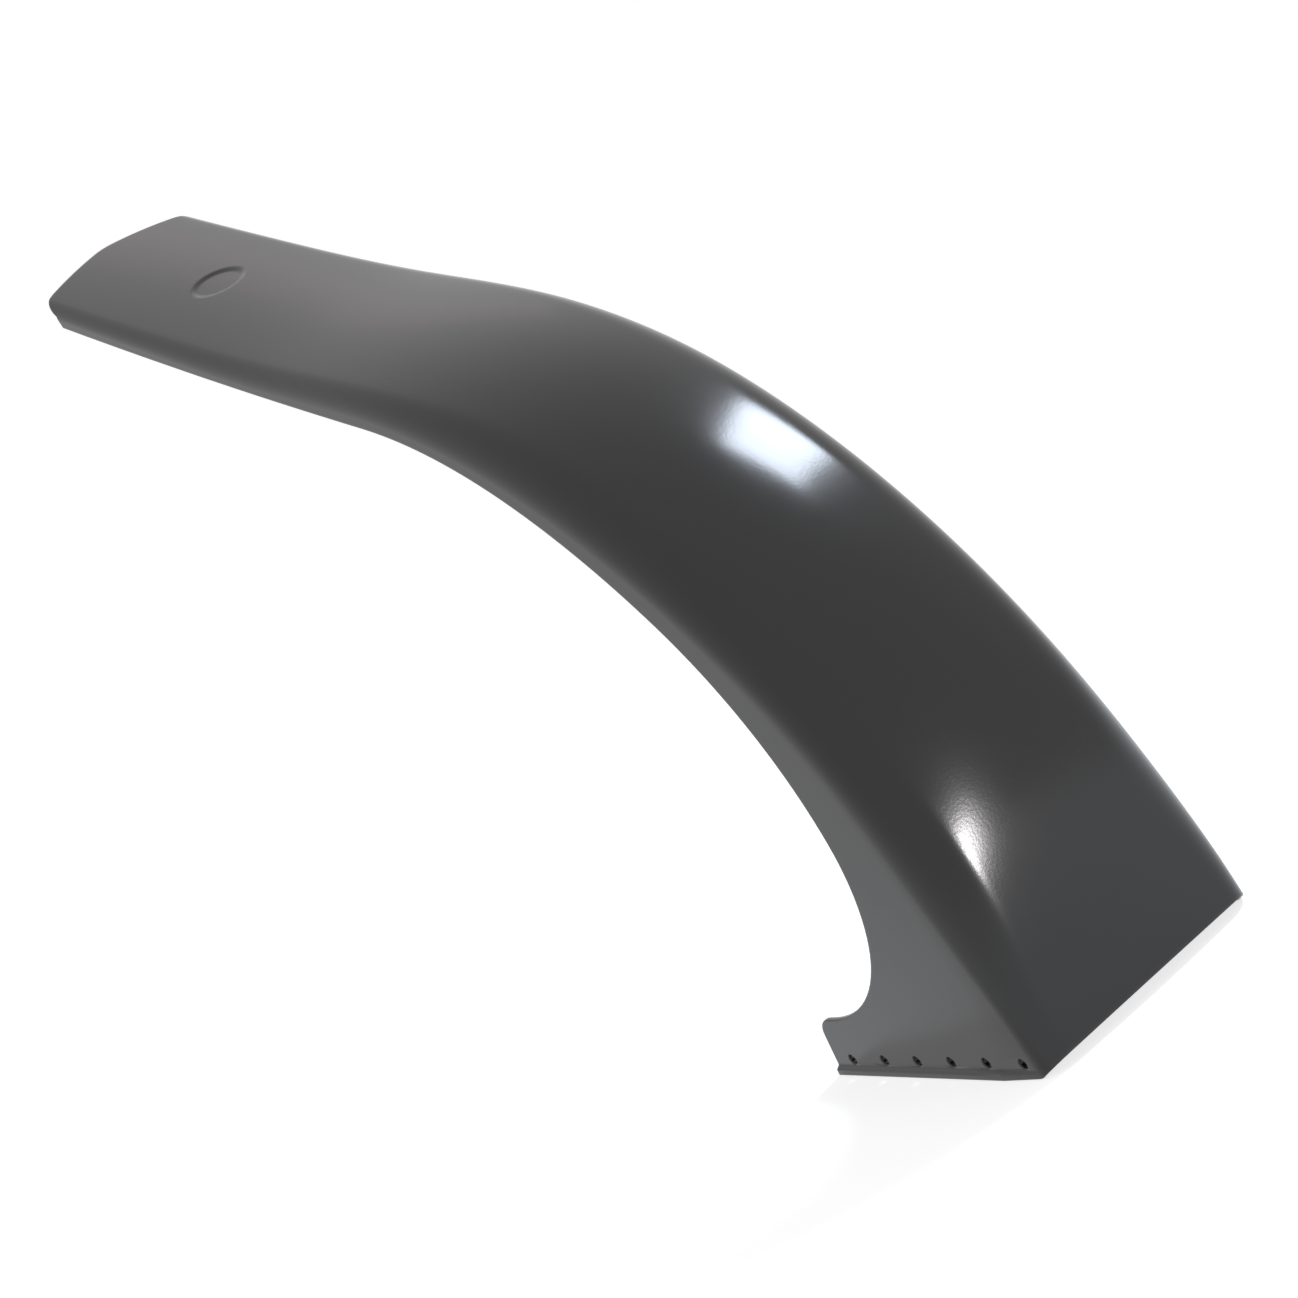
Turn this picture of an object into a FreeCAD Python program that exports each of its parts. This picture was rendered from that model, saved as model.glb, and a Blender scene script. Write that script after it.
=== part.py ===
import FreeCAD, Part
import math
import os
import Sketcher

# Bicycle mudguard moulded in one piece: a thin channel that rises from a boxy tail, bends over the
# wheel and runs out in a flat upswept blade. The skirts end in two feet with a rolled lip and a row
# of screw holes. X runs along the lips with the blade toward minus X, Y across the wheel, Z up.
# Lengths are millimetres and angles are degrees.

SIZES = [
    ("wall", 2.5, "wall thickness of the moulding"),
    ("draft", 0.6, "outward lean of the skirts, degrees"),
    ("tail_rise", 53.0, "height of the straight tail above the lips"),
    ("arch_radius", 293.0, "radius of the crown line over the wheel"),
    ("arch_turn", 71.0, "angle that the crown line turns over the wheel, degrees"),
    ("blade_radius", 4400.0, "radius of the blade's upward sweep"),
    ("blade_length", 325.5, "length of the blade from the arch to its tip"),
    ("heel_width", 115.0, "outside width at the heel of the tail"),
    ("tail_width", 114.4, "outside width at the top of the tail"),
    ("lower_width", 109.4, "outside width a quarter of the way over the arch"),
    ("crest_width", 105.6, "outside width half way over the arch"),
    ("upper_width", 102.0, "outside width three quarters of the way over the arch"),
    ("root_width", 98.4, "outside width where the arch meets the blade"),
    ("inner_width", 95.6, "outside width a third of the way along the blade"),
    ("outer_width", 92.8, "outside width two thirds of the way along the blade"),
    ("nose_width", 90.0, "outside width at the blade's tip"),
    ("heel_crown", 650.0, "radius across the back of the tail at the heel"),
    ("tail_crown", 560.0, "radius across the crown at the top of the tail"),
    ("lower_crown", 168.0, "radius across the crown a quarter of the way over the arch"),
    ("crest_crown", 137.0, "radius across the crown half way over the arch"),
    ("upper_crown", 149.0, "radius across the crown three quarters of the way over the arch"),
    ("root_crown", 215.0, "radius across the crown where the arch meets the blade"),
    ("inner_crown", 232.0, "radius across the crown a third of the way along the blade"),
    ("outer_crown", 247.0, "radius across the crown two thirds of the way along the blade"),
    ("nose_crown", 260.0, "radius across the crown at the blade's tip"),
    ("heel_shoulder", 12.5, "shoulder radius at the heel of the tail"),
    ("tail_shoulder", 18.0, "shoulder radius at the top of the tail"),
    ("lower_shoulder", 21.5, "shoulder radius a quarter of the way over the arch"),
    ("crest_shoulder", 22.5, "shoulder radius half way over the arch"),
    ("upper_shoulder", 20.0, "shoulder radius three quarters of the way over the arch"),
    ("root_shoulder", 13.0, "shoulder radius where the arch meets the blade"),
    ("inner_shoulder", 10.0, "shoulder radius a third of the way along the blade"),
    ("outer_shoulder", 8.0, "shoulder radius two thirds of the way along the blade"),
    ("nose_shoulder", 6.5, "shoulder radius at the blade's tip"),
    ("trim_allowance", 18.0, "extra length of the raw channel that the edge cuts remove"),
    ("throat_depth", 61.6, "depth of the skirt at the throat, from the back of the tail"),
    ("throat_height", 109.0, "height of the throat above the lips"),
    ("hook_radius", 82.2, "radius of the hollow between throat and foot"),
    ("throat_radius", 180.0, "radius of the skirt's edge above the throat"),
    ("throat_turn", 33.6, "angle of the edge above the throat, degrees"),
    ("edge_radius", 300.0, "radius of the skirt's edge over the arch"),
    ("edge_turn", 69.1, "angle where the arch edge ends, degrees"),
    ("blade_edge_radius", 5600.0, "radius of the blade's lower edge"),
    ("foot_length", 160.0, "length of the foot along its lip"),
    ("tail_lift", 5.6, "how far the tail's end edge rises above the lips"),
    ("toe_setback", 7.5, "lean of the foot's front edge"),
    ("toe_radius", 10.0, "rounding of the toe"),
    ("tip_bulge", 8.5, "forward point of the tip"),
    ("tip_radius", 26.0, "rounding of the tip's point"),
    ("tip_corner", 10.0, "rounding of the tip's corners"),
    ("lip_height", 3.5, "height of the rolled lip"),
    ("lip_reach", 1.8, "how far the lip stands out of the skirt"),
    ("lip_bite", 1.2, "how far the lip is rooted in the wall"),
    ("lip_overrun", 0.4, "how far the lip runs past the foot's front edge"),
    ("hole_diameter", 4.5, "clearance hole for an M4 screw"),
    ("hole_front", 16.0, "last screw hole from the front end of the foot"),
    ("hole_inset", 19.0, "first screw hole from the back of the tail"),
    ("hole_height", 7.0, "screw holes above the lip's underside"),
    ("dish_diameter", 26.0, "plain round dish near the tip"),
    ("dish_depth", 0.9, "depth of the dish below the crown"),
    ("dish_from_tip", 112.0, "dish from the tip, along the blade"),
]

HOLE_COUNT = 6
S = dict((name, value) for name, value, meaning in SIZES)

doc = FreeCAD.newDocument("Mudguard")
sheet = doc.addObject("Spreadsheet::Sheet", "Sizes")
for row, (name, value, meaning) in enumerate(SIZES, start=1):
    sheet.set("A%d" % row, meaning)
    sheet.set("B%d" % row, str(value))
    sheet.setAlias("B%d" % row, name)
doc.recompute()

frame = doc.addObject("PartDesign::Body", "Frame")
frame.Label = "section_frame"
body = doc.addObject("PartDesign::Body", "Shell")
body.Label = "mudguard_shell"


def plane(owner, role):
    """Origin plane of a body by its role."""
    for item in owner.Origin.OriginFeatures:
        if item.Role == role:
            return item
    raise ValueError(role)


def new_sketch(owner, name, role):
    """Empty sketch on one of its own body's origin planes."""
    sketch = owner.newObject("Sketcher::SketchObject", name)
    sketch.AttachmentSupport = [(plane(owner, role), "")]
    sketch.MapMode = "FlatFace"
    return sketch


def drive(sketch, constraint, expression):
    """Adds a dimension to a sketch and binds it to the sheet."""
    index = sketch.addConstraint(constraint)
    sketch.setExpression("Constraints[%d]" % index, expression)
    return index


def tilt(sketch, base_y, base_z, angle):
    """Moves a sketch along the side view and leans it, all by expressions."""
    sketch.AttachmentOffset = FreeCAD.Placement(
        FreeCAD.Vector(0, 0, 0), FreeCAD.Rotation(FreeCAD.Vector(1, 0, 0), 90))
    sketch.setExpression("AttachmentOffset.Base.y", base_y)
    sketch.setExpression("AttachmentOffset.Base.z", base_z)
    sketch.setExpression("AttachmentOffset.Rotation.Angle", angle)


def polar(centre, radius, angle):
    """Point on a circle, angle in degrees."""
    a = math.radians(angle)
    return FreeCAD.Vector(centre.x + radius * math.cos(a), centre.y + radius * math.sin(a), 0)


def arc(centre, radius, start, end):
    """Arc that runs anticlockwise from start to end, in degrees."""
    circle = Part.Circle(centre, FreeCAD.Vector(0, 0, 1), radius)
    return Part.ArcOfCircle(circle, math.radians(start), math.radians(end))


def section(name, station, stock, base_y, base_z, angle):
    """Channel section across the wheel: crown, two shoulders and two leaning skirts of even wall."""
    sketch = new_sketch(frame, name, "YZ_Plane")
    tilt(sketch, base_y, base_z, angle)
    half = S[station + "_width"] / 2
    crown = S[station + "_crown"]
    shoulder = S[station + "_shoulder"]
    wall = S["wall"]
    lean = S["draft"]
    depth = stock[0]

    turn = math.degrees(math.asin((half - shoulder) / (crown - shoulder)))
    top = FreeCAD.Vector(0, -crown, 0)
    right = polar(top, crown - shoulder, 90 - turn)
    left = FreeCAD.Vector(-right.x, right.y, 0)
    down = FreeCAD.Vector(math.sin(math.radians(lean)), -math.cos(math.radians(lean)), 0)

    def skirt(radius):
        start = polar(right, radius, lean)
        return start, start + down * ((start.y + depth) / -down.y)

    outer_a, outer_b = skirt(shoulder)
    inner_a, inner_b = skirt(shoulder - wall)
    mirror = lambda p: FreeCAD.Vector(-p.x, p.y, 0)

    geometry = [
        arc(top, crown, 90 - turn, 90 + turn),
        arc(right, shoulder, lean, 90 - turn),
        Part.LineSegment(outer_a, outer_b),
        Part.LineSegment(outer_b, inner_b),
        Part.LineSegment(inner_b, inner_a),
        arc(right, shoulder - wall, lean, 90 - turn),
        arc(top, crown - wall, 90 - turn, 90 + turn),
        arc(left, shoulder - wall, 90 + turn, 180 - lean),
        Part.LineSegment(mirror(inner_a), mirror(inner_b)),
        Part.LineSegment(mirror(inner_b), mirror(outer_b)),
        Part.LineSegment(mirror(outer_b), mirror(outer_a)),
        arc(left, shoulder, 90 + turn, 180 - lean),
    ]
    sketch.addGeometry(geometry, False)
    c = Sketcher.Constraint
    sketch.addConstraint([
        c("PointOnObject", 0, 3, -2),
        c("PointOnObject", -1, 1, 0),
        c("Tangent", 0, 1, 1, 2),
        c("Tangent", 1, 1, 2, 1),
        c("Tangent", 0, 2, 11, 1),
        c("Tangent", 11, 2, 10, 2),
        c("Coincident", 6, 3, 0, 3),
        c("Coincident", 5, 3, 1, 3),
        c("Coincident", 7, 3, 11, 3),
        c("Tangent", 6, 1, 5, 2),
        c("Tangent", 6, 2, 7, 1),
        c("Tangent", 5, 1, 4, 2),
        c("Tangent", 7, 2, 8, 1),
        c("Coincident", 2, 2, 3, 1),
        c("Coincident", 3, 2, 4, 1),
        c("Coincident", 8, 2, 9, 1),
        c("Coincident", 9, 2, 10, 1),
        c("Horizontal", 3),
        c("Horizontal", 9),
        c("Symmetric", 1, 3, 11, 3, -2),
        c("Parallel", 2, 4),
        c("Parallel", 8, 10),
        c("Symmetric", 2, 2, 10, 1, -2),
    ])
    drive(sketch, c("Radius", 0, crown), "Sizes.%s_crown" % station)
    drive(sketch, c("Radius", 1, shoulder), "Sizes.%s_shoulder" % station)
    drive(sketch, c("Radius", 6, crown - wall), "Sizes.%s_crown - Sizes.wall" % station)
    drive(sketch, c("DistanceX", -1, 1, 1, 3, half - shoulder),
          "Sizes.%s_width / 2 - Sizes.%s_shoulder" % (station, station))
    drive(sketch, c("Angle", 2, math.radians(lean - 90)), "Sizes.draft * 1deg - 90deg")
    drive(sketch, c("DistanceY", 2, 2, -1, 1, depth), stock[1])
    return sketch


# Stock depth of the raw channel, before the edge cuts

FOOT_STOCK = (S["foot_length"] + S["trim_allowance"], "Sizes.foot_length + Sizes.trim_allowance")
ARCH_STOCK = (S["throat_depth"] + S["trim_allowance"], "Sizes.throat_depth + Sizes.trim_allowance")
BLADE_STOCK = (3 * S["trim_allowance"], "3 * Sizes.trim_allowance")


def arch_station(share):
    """Side view place and lean of a section at a share of the arch."""
    angle = "Sizes.arch_turn * %g * 1deg" % share
    return ("Sizes.tail_rise + Sizes.arch_radius * sin(%s)" % angle,
            "-Sizes.arch_radius * (1 - cos(%s))" % angle,
            "90deg - %s" % angle)


def blade_station(run):
    """Side view place and lean of a section at a run along the blade."""
    start = "(90deg - Sizes.arch_turn * 1deg)"
    lean = "(%s + (%s) / Sizes.blade_radius * 180deg / pi)" % (start, run)
    height = ("Sizes.tail_rise + Sizes.arch_radius * sin(Sizes.arch_turn * 1deg)"
              " + Sizes.blade_radius * (cos(%s) - cos(%s))" % (start, lean))
    reach = ("-Sizes.arch_radius * (1 - cos(Sizes.arch_turn * 1deg))"
             " - Sizes.blade_radius * (sin(%s) - sin(%s))" % (lean, start))
    return height, reach, lean


def make_channel():
    """Raw channel: one smooth loft through the sections, from below the tail to past the tip."""
    sections = [
        section("TailEnd", "heel", FOOT_STOCK, "-Sizes.trim_allowance", "0", "90deg"),
        section("TailMiddle", "heel", FOOT_STOCK, "Sizes.tail_rise * 0.3", "0", "90deg"),
        section("TailTop", "tail", FOOT_STOCK, *arch_station(0.0)),
        section("ArchLower", "lower", ARCH_STOCK, *arch_station(0.25)),
        section("ArchCrest", "crest", ARCH_STOCK, *arch_station(0.5)),
        section("ArchUpper", "upper", ARCH_STOCK, *arch_station(0.75)),
        section("BladeRoot", "root", BLADE_STOCK, *arch_station(1.0)),
        section("BladeInner", "inner", BLADE_STOCK, *blade_station("Sizes.blade_length / 3")),
        section("BladeOuter", "outer", BLADE_STOCK, *blade_station("Sizes.blade_length * 2 / 3")),
        section("BladeTip", "nose", BLADE_STOCK,
                *blade_station("Sizes.blade_length + Sizes.trim_allowance")),
    ]
    doc.recompute()
    channel = doc.addObject("Part::Loft", "Channel")
    channel.Sections = sections
    channel.Solid = True
    channel.Ruled = False
    channel.MaxDegree = 3
    doc.recompute()
    body.BaseFeature = channel
    doc.recompute()
    return channel


def cut_edges():
    """Skirt edges in the side view: blade, arch, throat, hook and foot."""
    sketch = new_sketch(body, "EdgeOutline", "XZ_Plane")
    throat = FreeCAD.Vector(-S["throat_depth"], S["throat_height"], 0)
    upper = FreeCAD.Vector(throat.x - S["throat_radius"], throat.y, 0)
    over = polar(upper, S["throat_radius"] - S["edge_radius"], S["throat_turn"])
    blade = polar(over, S["edge_radius"] + S["blade_edge_radius"], S["edge_turn"])
    blade_run = S["blade_length"] + 4 * S["trim_allowance"]
    blade_end = 180 + S["edge_turn"] - math.degrees(blade_run / S["blade_edge_radius"])
    hook = FreeCAD.Vector(throat.x - S["hook_radius"], throat.y, 0)
    hook_foot = FreeCAD.Vector(hook.x, hook.y - S["hook_radius"], 0)
    front_foot = FreeCAD.Vector(-S["foot_length"], 0, 0)
    front_top = FreeCAD.Vector(-S["foot_length"] + S["toe_setback"], hook_foot.y, 0)
    rise = math.atan2(front_top.y, S["toe_setback"])
    toe_run = S["toe_radius"] / math.tan((math.pi - rise) / 2)
    toe = FreeCAD.Vector(front_top.x + toe_run, hook_foot.y - S["toe_radius"], 0)
    toe_top = FreeCAD.Vector(toe.x, hook_foot.y, 0)
    slope = FreeCAD.Vector(math.cos(rise), math.sin(rise), 0)
    toe_front = front_top - slope * toe_run
    tip = polar(blade, S["blade_edge_radius"], blade_end)
    below = -4 * S["trim_allowance"]
    behind = 2 * S["trim_allowance"]
    heel = FreeCAD.Vector(-S["heel_shoulder"], 0, 0)
    bevel = math.atan2(S["tail_lift"], S["heel_shoulder"])
    rear = FreeCAD.Vector(behind, (behind + S["heel_shoulder"]) * math.tan(bevel), 0)

    geometry = [
        arc(blade, S["blade_edge_radius"], blade_end, 180 + S["edge_turn"]),
        arc(over, S["edge_radius"], S["throat_turn"], S["edge_turn"]),
        arc(upper, S["throat_radius"], 0, S["throat_turn"]),
        arc(hook, S["hook_radius"], -90, 0),
        Part.LineSegment(hook_foot, toe_top),
        arc(toe, S["toe_radius"], 90, 90 + math.degrees(rise)),
        Part.LineSegment(toe_front, front_foot),
        Part.LineSegment(front_foot, heel),
        Part.LineSegment(rear, FreeCAD.Vector(behind, below, 0)),
        Part.LineSegment(FreeCAD.Vector(behind, below, 0), FreeCAD.Vector(tip.x, below, 0)),
        Part.LineSegment(FreeCAD.Vector(tip.x, below, 0), tip),
        Part.LineSegment(heel, rear),
    ]
    sketch.addGeometry(geometry, False)
    c = Sketcher.Constraint
    sketch.addConstraint([
        c("Tangent", 0, 2, 1, 2),
        c("Tangent", 1, 1, 2, 2),
        c("Coincident", 2, 1, 3, 2),
        c("Horizontal", 2, 3, 2, 1),
        c("Horizontal", 3, 3, 3, 2),
        c("Tangent", 3, 1, 4, 1),
        c("Horizontal", 4),
        c("Tangent", 4, 2, 5, 1),
        c("Tangent", 5, 2, 6, 1),
        c("Coincident", 6, 2, 7, 1),
        c("PointOnObject", 7, 1, -1),
        c("Horizontal", 7),
        c("Coincident", 7, 2, 11, 1),
        c("Coincident", 11, 2, 8, 1),
        c("Vertical", 8),
        c("Coincident", 8, 2, 9, 1),
        c("Horizontal", 9),
        c("Coincident", 9, 2, 10, 1),
        c("Vertical", 10),
        c("Coincident", 10, 2, 0, 1),
    ])
    drive(sketch, c("DistanceX", 2, 1, -1, 1, -throat.x), "Sizes.throat_depth")
    drive(sketch, c("DistanceY", -1, 1, 2, 1, throat.y), "Sizes.throat_height")
    drive(sketch, c("Radius", 0, S["blade_edge_radius"]), "Sizes.blade_edge_radius")
    drive(sketch, c("Radius", 1, S["edge_radius"]), "Sizes.edge_radius")
    drive(sketch, c("Radius", 2, S["throat_radius"]), "Sizes.throat_radius")
    drive(sketch, c("Radius", 3, S["hook_radius"]), "Sizes.hook_radius")
    drive(sketch, c("Radius", 5, S["toe_radius"]), "Sizes.toe_radius")
    drive(sketch, c("Angle", 2, math.radians(S["throat_turn"])), "Sizes.throat_turn * 1deg")
    drive(sketch, c("Angle", 1, math.radians(S["edge_turn"] - S["throat_turn"])),
          "(Sizes.edge_turn - Sizes.throat_turn) * 1deg")
    drive(sketch, c("Angle", 0, blade_run / S["blade_edge_radius"]),
          "(Sizes.blade_length + 4 * Sizes.trim_allowance) / Sizes.blade_edge_radius * 180deg / pi")
    drive(sketch, c("DistanceX", 6, 2, -1, 1, S["foot_length"]), "Sizes.foot_length")
    drive(sketch, c("Angle", 6, rise - math.pi),
          "atan2(Sizes.throat_height - Sizes.hook_radius; Sizes.toe_setback) - 180deg")
    drive(sketch, c("DistanceX", 7, 2, -1, 1, -heel.x), "Sizes.heel_shoulder")
    drive(sketch, c("Angle", 11, bevel), "atan2(Sizes.tail_lift; Sizes.heel_shoulder)")
    drive(sketch, c("DistanceX", -1, 1, 8, 1, behind), "2 * Sizes.trim_allowance")
    drive(sketch, c("DistanceY", 8, 2, -1, 1, -below), "4 * Sizes.trim_allowance")
    doc.recompute()
    cut = body.newObject("PartDesign::Pocket", "EdgeCut")
    cut.Profile = sketch
    cut.Type = "ThroughAll"
    cut.Midplane = True
    doc.recompute()
    return cut


def point(sketch, geo, pos, place, expressions):
    """Fixes a sketch point by two dimensions from the origin, each bound to the sheet."""
    c = Sketcher.Constraint
    drive(sketch, c("DistanceX", -1, 1, geo, pos, place.x), expressions[0])
    drive(sketch, c("DistanceY", -1, 1, geo, pos, place.y), expressions[1])


def ring(sketch, corners):
    """Closed run of straight lines through the corners; returns the index of the first line."""
    first = sketch.GeometryCount
    count = len(corners)
    lines = [Part.LineSegment(corners[i], corners[(i + 1) % count]) for i in range(count)]
    sketch.addGeometry(lines, False)
    for i in range(count):
        sketch.addConstraint(Sketcher.Constraint("Coincident", first + i, 2, first + (i + 1) % count, 1))
    return first


def tip_reach():
    """Distance of the blade's tip from the back of the tail, from the driving sizes."""
    start = math.radians(90 - S["arch_turn"])
    end = start + S["blade_length"] / S["blade_radius"]
    arch = S["arch_radius"] * (1 - math.cos(math.radians(S["arch_turn"])))
    return arch + S["blade_radius"] * (math.sin(end) - math.sin(start))


def cut_tip():
    """Tip in plan: a blunt point with rounded corners."""
    sketch = new_sketch(body, "TipOutline", "XY_Plane")
    reach = tip_reach()
    reach_text = "(0 - (%s))" % blade_station("Sizes.blade_length")[1]
    half = S["nose_width"] / 2
    slope = math.atan2(half, S["tip_bulge"])
    nose = FreeCAD.Vector(-reach + S["tip_radius"], 0, 0)
    rise = half - S["tip_corner"]
    edge_start = polar(nose, S["tip_radius"], 90 + math.degrees(slope))
    run = (rise + S["tip_corner"] * math.cos(slope) - edge_start.y) / math.sin(slope)
    edge_end = edge_start + FreeCAD.Vector(math.cos(slope), math.sin(slope), 0) * run
    corner = FreeCAD.Vector(edge_end.x + S["tip_corner"] * math.sin(slope), rise, 0)
    side = FreeCAD.Vector(corner.x, half, 0)
    wide = 2 * half
    front = -reach - 4 * S["trim_allowance"]
    flip = lambda v: FreeCAD.Vector(v.x, -v.y, 0)
    out = FreeCAD.Vector(side.x, wide, 0)
    far = FreeCAD.Vector(front, wide, 0)
    lean = 90 + math.degrees(slope)

    geometry = [
        arc(nose, S["tip_radius"], lean, 360 - lean),
        Part.LineSegment(edge_start, edge_end),
        arc(corner, S["tip_corner"], 90, lean),
        Part.LineSegment(side, out),
        Part.LineSegment(out, far),
        Part.LineSegment(far, flip(far)),
        Part.LineSegment(flip(far), flip(out)),
        Part.LineSegment(flip(out), flip(side)),
        arc(flip(corner), S["tip_corner"], 360 - lean, 270),
        Part.LineSegment(flip(edge_start), flip(edge_end)),
    ]
    sketch.addGeometry(geometry, False)
    c = Sketcher.Constraint
    sketch.addConstraint([
        c("PointOnObject", 0, 3, -1),
        c("Tangent", 0, 1, 1, 1),
        c("Tangent", 1, 2, 2, 2),
        c("Vertical", 2, 3, 2, 1),
        c("Coincident", 2, 1, 3, 1),
        c("Vertical", 3),
        c("Coincident", 3, 2, 4, 1),
        c("Horizontal", 4),
        c("Coincident", 4, 2, 5, 1),
        c("Vertical", 5),
        c("Coincident", 5, 2, 6, 1),
        c("Horizontal", 6),
        c("Coincident", 6, 2, 7, 1),
        c("Coincident", 7, 2, 8, 2),
        c("Vertical", 8, 3, 8, 2),
        c("Symmetric", 3, 2, 6, 2, -1),
        c("Symmetric", 2, 3, 8, 3, -1),
        c("Equal", 2, 8),
        c("Tangent", 0, 2, 9, 1),
        c("Tangent", 9, 2, 8, 1),
    ])
    drive(sketch, c("Radius", 0, S["tip_radius"]), "Sizes.tip_radius")
    drive(sketch, c("Radius", 2, S["tip_corner"]), "Sizes.tip_corner")
    drive(sketch, c("DistanceX", 0, 3, -1, 1, -nose.x), "%s - Sizes.tip_radius" % reach_text)
    drive(sketch, c("DistanceY", -1, 1, 2, 1, half), "Sizes.nose_width / 2")
    drive(sketch, c("Angle", 1, slope), "atan2(Sizes.nose_width / 2; Sizes.tip_bulge)")
    drive(sketch, c("DistanceY", -1, 1, 3, 2, wide), "Sizes.nose_width")
    drive(sketch, c("DistanceX", 4, 2, -1, 1, -front), "%s + 4 * Sizes.trim_allowance" % reach_text)
    doc.recompute()
    cut = body.newObject("PartDesign::Pocket", "TipCut")
    cut.Profile = sketch
    cut.Type = "ThroughAll"
    cut.Midplane = True
    doc.recompute()
    return cut


def add_lips():
    """Rolled lip along the bottom of each foot; it fades out before the tail's shoulder."""
    sketch = new_sketch(body, "LipOutline", "XY_Plane")
    half = S["heel_width"] / 2
    lean = math.tan(math.radians(S["draft"]))
    front = S["foot_length"] + S["lip_overrun"]
    rear = S["heel_shoulder"]
    flare = (front - rear) * lean
    fade = 4 * S["lip_reach"]
    flare_text = "(Sizes.foot_length + Sizes.lip_overrun - Sizes.heel_shoulder) * tan(Sizes.draft * 1deg)"
    front_text = "-(Sizes.foot_length + Sizes.lip_overrun)"
    places = [
        (FreeCAD.Vector(-front, half + flare - S["lip_bite"], 0),
         (front_text, "Sizes.heel_width / 2 + %s - Sizes.lip_bite" % flare_text)),
        (FreeCAD.Vector(-front, half + flare + S["lip_reach"], 0),
         (front_text, "Sizes.heel_width / 2 + %s + Sizes.lip_reach" % flare_text)),
        (FreeCAD.Vector(-rear - fade, half + fade * lean + S["lip_reach"], 0),
         ("-Sizes.heel_shoulder - 4 * Sizes.lip_reach",
          "Sizes.heel_width / 2 + 4 * Sizes.lip_reach * tan(Sizes.draft * 1deg) + Sizes.lip_reach")),
        (FreeCAD.Vector(-rear, half - S["lip_bite"], 0),
         ("-Sizes.heel_shoulder", "Sizes.heel_width / 2 - Sizes.lip_bite")),
    ]
    near = ring(sketch, [place for place, texts in places])
    far = ring(sketch, [FreeCAD.Vector(place.x, -place.y, 0) for place, texts in places])
    for i, (place, texts) in enumerate(places):
        point(sketch, near + i, 1, place, texts)
        sketch.addConstraint(Sketcher.Constraint("Symmetric", near + i, 1, far + i, 1, -1))
    doc.recompute()
    pad = body.newObject("PartDesign::Pad", "Lips")
    pad.Profile = sketch
    pad.setExpression("Length", "Sizes.lip_height")
    doc.recompute()
    return pad


def drill_holes():
    """Row of screw holes above each lip, drilled across both skirts."""
    sketch = new_sketch(body, "HoleCentre", "XZ_Plane")
    centre = FreeCAD.Vector(S["hole_front"] - S["foot_length"], S["hole_height"], 0)
    sketch.addGeometry(Part.Circle(centre, FreeCAD.Vector(0, 0, 1), S["hole_diameter"] / 2), False)
    drive(sketch, Sketcher.Constraint("Diameter", 0, S["hole_diameter"]), "Sizes.hole_diameter")
    point(sketch, 0, 3, centre, ("Sizes.hole_front - Sizes.foot_length", "Sizes.hole_height"))
    doc.recompute()
    hole = body.newObject("PartDesign::Pocket", "FrontHole")
    hole.Profile = sketch
    hole.Type = "ThroughAll"
    hole.Midplane = True
    doc.recompute()
    row = body.newObject("PartDesign::LinearPattern", "HoleRow")
    row.Originals = [hole]
    row.Direction = (sketch, ["H_Axis"])
    row.Occurrences = HOLE_COUNT
    row.setExpression("Length", "Sizes.foot_length - Sizes.hole_front - Sizes.hole_inset")
    body.Tip = row
    doc.recompute()
    return row


def sink_dish():
    """Plain shallow round dish on the crown, near the tip; its cutter starts one wall above."""
    sketch = new_sketch(body, "DishOutline", "YZ_Plane")
    height, reach, lean = blade_station("Sizes.blade_length - Sizes.dish_from_tip")
    tilt(sketch, "%s + Sizes.wall * cos(%s)" % (height, lean),
         "%s + Sizes.wall * sin(%s)" % (reach, lean), "%s - 90deg" % lean)
    sketch.addGeometry(Part.Circle(FreeCAD.Vector(0, 0, 0), FreeCAD.Vector(0, 0, 1),
                                   S["dish_diameter"] / 2), False)
    sketch.addConstraint(Sketcher.Constraint("Coincident", 0, 3, -1, 1))
    drive(sketch, Sketcher.Constraint("Diameter", 0, S["dish_diameter"]), "Sizes.dish_diameter")
    doc.recompute()
    dish = body.newObject("PartDesign::Pocket", "Dish")
    dish.Profile = sketch
    dish.setExpression("Length", "Sizes.wall + Sizes.dish_depth")
    doc.recompute()
    return dish


def build():
    """Whole moulding: channel, edges, tip, lips, holes and dish."""
    steps = [make_channel, cut_edges, cut_tip, add_lips, drill_holes, sink_dish]
    for step in steps:
        feature = step()
        print(feature.Name, feature.State, round(feature.Shape.Volume))
    box = body.Shape.optimalBoundingBox()
    body.Placement.Base = FreeCAD.Vector(-box.Center.x, 0, -box.ZMin)


def write():
    """Checks every object and writes the solid."""
    doc.recompute()
    for item in doc.Objects:
        if "Invalid" in item.State or "Error" in item.State:
            raise RuntimeError("%s: %s" % (item.Name, item.State))
    shape = body.Shape
    if shape.isNull() or not shape.isValid() or len(shape.Solids) != 1:
        raise RuntimeError("shell is not one valid solid")
    os.makedirs("parts", exist_ok=True)
    shape.exportStep("parts/mudguard_shell.step")
    print("volume", shape.Volume, "box", shape.optimalBoundingBox())


build()
write()
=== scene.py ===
"""Moulded black bicycle mudguard: its skin, hole rows, finish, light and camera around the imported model."""

import bisect
import logging
import math
from dataclasses import dataclass, field
from enum import Enum
from typing import Any, Optional, Sequence

import bmesh
import bpy
from mathutils import Matrix, Vector

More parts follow.
